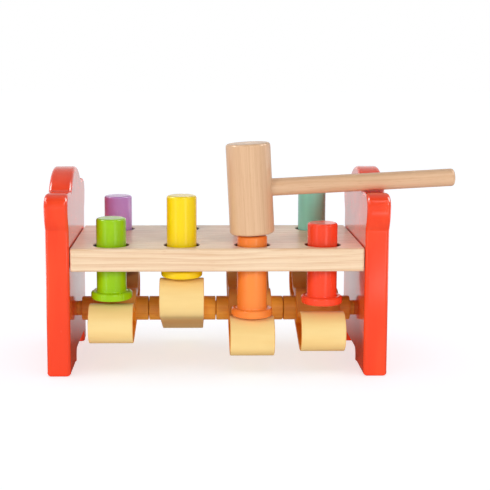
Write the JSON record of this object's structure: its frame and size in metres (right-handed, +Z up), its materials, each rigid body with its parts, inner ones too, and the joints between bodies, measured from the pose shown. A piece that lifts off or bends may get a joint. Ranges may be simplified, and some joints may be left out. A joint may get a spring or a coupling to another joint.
{
  "type": "peg pounding bench",
  "caption": "Wooden toddler pounding bench: flanged pegs in a board between two end plates, joined in pairs by see-saw rockers on an axle below, with a hammer.",
  "frame": {"origin": "on the table, at the middle of the whole outline seen from above, with the hammer as it stands", "axes": "+X along the bench to the right, +Y from the front to the back, +Z up"},
  "size_m": [0.264, 0.11, 0.1511],
  "materials": {
    "red_paint": "gloss red paint on wood",
    "pine": "clear satin lacquer on pine",
    "beech": "clear satin lacquer on beech",
    "cream_paint": "satin cream-yellow stain on wood",
    "peg_green": "gloss green paint on wood",
    "peg_yellow": "gloss yellow paint on wood",
    "peg_orange": "gloss orange paint on wood",
    "peg_red": "gloss red paint on wood",
    "peg_purple": "gloss purple paint on wood",
    "peg_blue": "gloss blue paint on wood",
    "peg_pink": "gloss pink paint on wood",
    "peg_teal": "gloss teal paint on wood"
  },
  "bodies": {
    "bench": {"end_plate_left": "red_paint", "end_plate_right": "red_paint", "peg_board": "pine", "axle": "beech"},
    "seesaw_1": {"rocker_1": "cream_paint", "hub_1": "beech"},
    "peg_green": {"peg_green": "peg_green"},
    "peg_purple": {"peg_purple": "peg_purple"},
    "seesaw_2": {"rocker_2": "cream_paint", "hub_2": "beech"},
    "peg_yellow": {"peg_yellow": "peg_yellow"},
    "peg_blue": {"peg_blue": "peg_blue"},
    "seesaw_3": {"rocker_3": "cream_paint", "hub_3": "beech"},
    "peg_orange": {"peg_orange": "peg_orange"},
    "peg_pink": {"peg_pink": "peg_pink"},
    "seesaw_4": {"rocker_4": "cream_paint", "hub_4": "beech"},
    "peg_red": {"peg_red": "peg_red"},
    "peg_teal": {"peg_teal": "peg_teal"},
    "hammer": {"hammer_head": "beech", "hammer_handle": "beech"}
  },
  "joints": [
    {"name": "seesaw_1_tilt", "type": "hinge", "parent": "bench", "child": "seesaw_1", "pos_m": [-0.09096, 0, 0.034], "axis": [-1, 0, 0], "range_deg": [-13.9, 27.1]},
    {"name": "peg_green_slide", "type": "slide", "parent": "bench", "child": "peg_green", "axis": [0, 0, 1], "range_m": [-0.00759, 0.01478]},
    {"name": "peg_purple_slide", "type": "slide", "parent": "bench", "child": "peg_purple", "axis": [0, 0, 1], "range_m": [-0.01715, 0.00881]},
    {"name": "seesaw_2_tilt", "type": "hinge", "parent": "bench", "child": "seesaw_2", "pos_m": [-0.04496, 0, 0.034], "axis": [-1, 0, 0], "range_deg": [-40.1, 0.9]},
    {"name": "peg_yellow_slide", "type": "slide", "parent": "bench", "child": "peg_yellow", "axis": [0, 0, 1], "range_m": [-0.02537, 0.00059]},
    {"name": "peg_blue_slide", "type": "slide", "parent": "bench", "child": "peg_blue", "axis": [0, 0, 1], "range_m": [-0.00059, 0.02537]},
    {"name": "seesaw_3_tilt", "type": "hinge", "parent": "bench", "child": "seesaw_3", "pos_m": [0.00104, 0, 0.034], "axis": [-1, 0, 0], "range_deg": [0, 41]},
    {"name": "peg_orange_slide", "type": "slide", "parent": "bench", "child": "peg_orange", "axis": [0, 0, 1], "range_m": [0, 0.02593]},
    {"name": "peg_pink_slide", "type": "slide", "parent": "bench", "child": "peg_pink", "axis": [0, 0, 1], "range_m": [-0.02593, 0]},
    {"name": "seesaw_4_tilt", "type": "hinge", "parent": "bench", "child": "seesaw_4", "pos_m": [0.04704, 0, 0.034], "axis": [-1, 0, 0], "range_deg": [-5, 36]},
    {"name": "peg_red_slide", "type": "slide", "parent": "bench", "child": "peg_red", "axis": [0, 0, 1], "range_m": [-0.00253, 0.01809]},
    {"name": "peg_teal_slide", "type": "slide", "parent": "bench", "child": "peg_teal", "axis": [0, 0, 1], "range_m": [-0.02278, 0.00318]},
    {"name": "hammer_lift", "type": "slide", "parent": "peg_orange", "child": "hammer", "axis": [0, 0, 1], "range_m": [0, 0.12]}
  ],
  "couplings": [
    {"joint": "peg_green_slide", "follows": "seesaw_1_tilt", "m_per_rad": 0.031212},
    {"joint": "peg_purple_slide", "follows": "seesaw_1_tilt", "m_per_rad": -0.036216},
    {"joint": "peg_yellow_slide", "follows": "seesaw_2_tilt", "m_per_rad": 0.036216},
    {"joint": "peg_blue_slide", "follows": "seesaw_2_tilt", "m_per_rad": -0.036216},
    {"joint": "peg_orange_slide", "follows": "seesaw_3_tilt", "m_per_rad": 0.036216},
    {"joint": "peg_pink_slide", "follows": "seesaw_3_tilt", "m_per_rad": -0.036216},
    {"joint": "peg_red_slide", "follows": "seesaw_4_tilt", "m_per_rad": 0.028768},
    {"joint": "peg_teal_slide", "follows": "seesaw_4_tilt", "m_per_rad": -0.036216}
  ]
}
